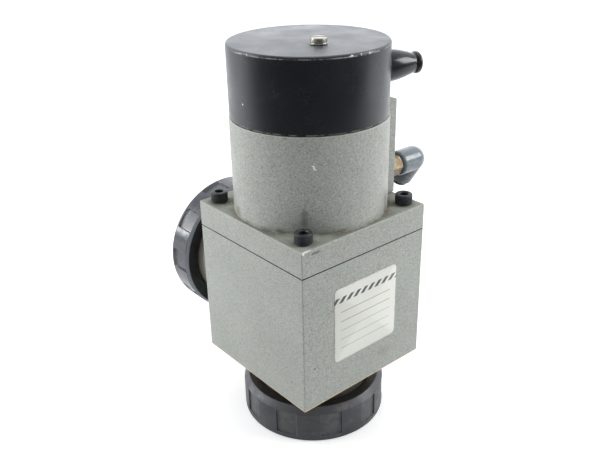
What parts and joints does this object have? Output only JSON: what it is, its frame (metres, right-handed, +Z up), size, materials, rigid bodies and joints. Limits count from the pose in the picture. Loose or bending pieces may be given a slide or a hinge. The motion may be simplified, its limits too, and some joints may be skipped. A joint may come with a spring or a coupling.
{
  "type": "vacuum angle valve",
  "caption": "Air-operated right-angle vacuum valve: square body, round actuator with black cover, captive ring nuts on its ports.",
  "frame": {"origin": "middle of the whole object's box, on the surface that the bottom port stands on", "axes": "+Z up along the valve stem, -X out of the side port, +Y out of the air supply side, +X out of the labelled face"},
  "size_m": [0.1172, 0.1076, 0.2034],
  "materials": {
    "grey_paint": "speckled grey-green hammer paint, slightly worn on its edges",
    "black_paint": "semi-gloss black paint, dusty on top, chipped along the upper edge",
    "black_moulding": "satin black moulded plastic, dusty in its recesses",
    "black_steel": "black oxide steel with a knurled head",
    "bare_aluminium": "turned aluminium",
    "plain_steel": "plain turned steel",
    "nickel_plate": "dull nickel plate, yellowed",
    "aged_brass": "browned brass",
    "bush_bronze": "plain sintered bronze",
    "seal_rubber": "matt black seal rubber",
    "boot_rubber": "glossy black moulded rubber, dusty near the bead",
    "elbow_moulding": "shiny grey-blue moulded plastic with a pale parting line",
    "coil_resin": "matt black encapsulating resin",
    "terminal_plastic": "pale moulded plastic",
    "label_film": "cream label film with a plain hatched band and plain ruled lines"
  },
  "bodies": {
    "housing": {"valve_body": "grey_paint", "bonnet": "grey_paint", "side_plate": "grey_paint", "bottom_port_neck": "bare_aluminium", "side_port_neck": "bare_aluminium", "bonnet_seal": "seal_rubber", "bonnet_screw_1": "black_steel", "bonnet_screw_2": "black_steel", "bonnet_screw_3": "black_steel", "bonnet_screw_4": "black_steel", "stem_bush": "bush_bronze", "stem_seal": "seal_rubber", "cylinder_head": "bare_aluminium", "head_seal": "seal_rubber", "head_circlip": "plain_steel", "cover": "black_paint", "cover_pillar": "plain_steel", "cover_screw": "nickel_plate", "cable_boot": "boot_rubber", "pilot_valve_body": "aged_brass", "solenoid_coil": "coil_resin", "core_tube": "plain_steel", "core_nut": "plain_steel", "terminal_block": "terminal_plastic", "side_plate_screw_1": "black_steel", "side_plate_screw_2": "black_steel", "air_fitting": "aged_brass", "label": "label_film"},
    "valve_train": {"valve_disc": "bare_aluminium", "disc_seal": "seal_rubber", "disc_nut": "plain_steel", "valve_stem": "plain_steel", "piston": "bare_aluminium", "piston_seal": "seal_rubber", "piston_nut": "plain_steel", "return_spring": "plain_steel"},
    "pilot_armature": {"pilot_plunger": "plain_steel", "plunger_spring": "plain_steel"},
    "lower_nut": {"bottom_ring_nut": "black_moulding"},
    "side_nut": {"side_ring_nut": "black_moulding"},
    "elbow": {"air_elbow": "elbow_moulding"},
    "collet": {"elbow_collet": "black_moulding"}
  },
  "joints": [
    {"name": "disc_lift", "type": "slide", "parent": "housing", "child": "valve_train", "axis": [0, 0, 1], "range_m": [0, 0.015], "stiffness_N_per_m": 2000, "springref_m": -0.01, "deforming": ["return_spring"]},
    {"name": "plunger_lift", "type": "slide", "parent": "housing", "child": "pilot_armature", "axis": [0, 0, 1], "range_m": [0, 0.0015], "stiffness_N_per_m": 200, "springref_m": -0.002, "deforming": ["plunger_spring"]},
    {"name": "bottom_nut_turn", "type": "hinge", "parent": "housing", "child": "lower_nut", "pos_m": [0.01837, -0.01375, 0.01], "axis": [0, 0, 1], "continuous": true},
    {"name": "side_nut_turn", "type": "hinge", "parent": "housing", "child": "side_nut", "pos_m": [-0.05087, -0.01375, 0.072], "axis": [-1, 0, 0], "continuous": true},
    {"name": "elbow_swivel", "type": "hinge", "parent": "housing", "child": "elbow", "pos_m": [0.03037, 0.04715, 0.1307], "axis": [0, 1, 0], "continuous": true},
    {"name": "collet_press", "type": "slide", "parent": "elbow", "child": "collet", "axis": [0.5519, 0, 0.8339], "range_m": [0, 0.001], "stiffness_N_per_m": 50, "springref_m": -0.001}
  ]
}
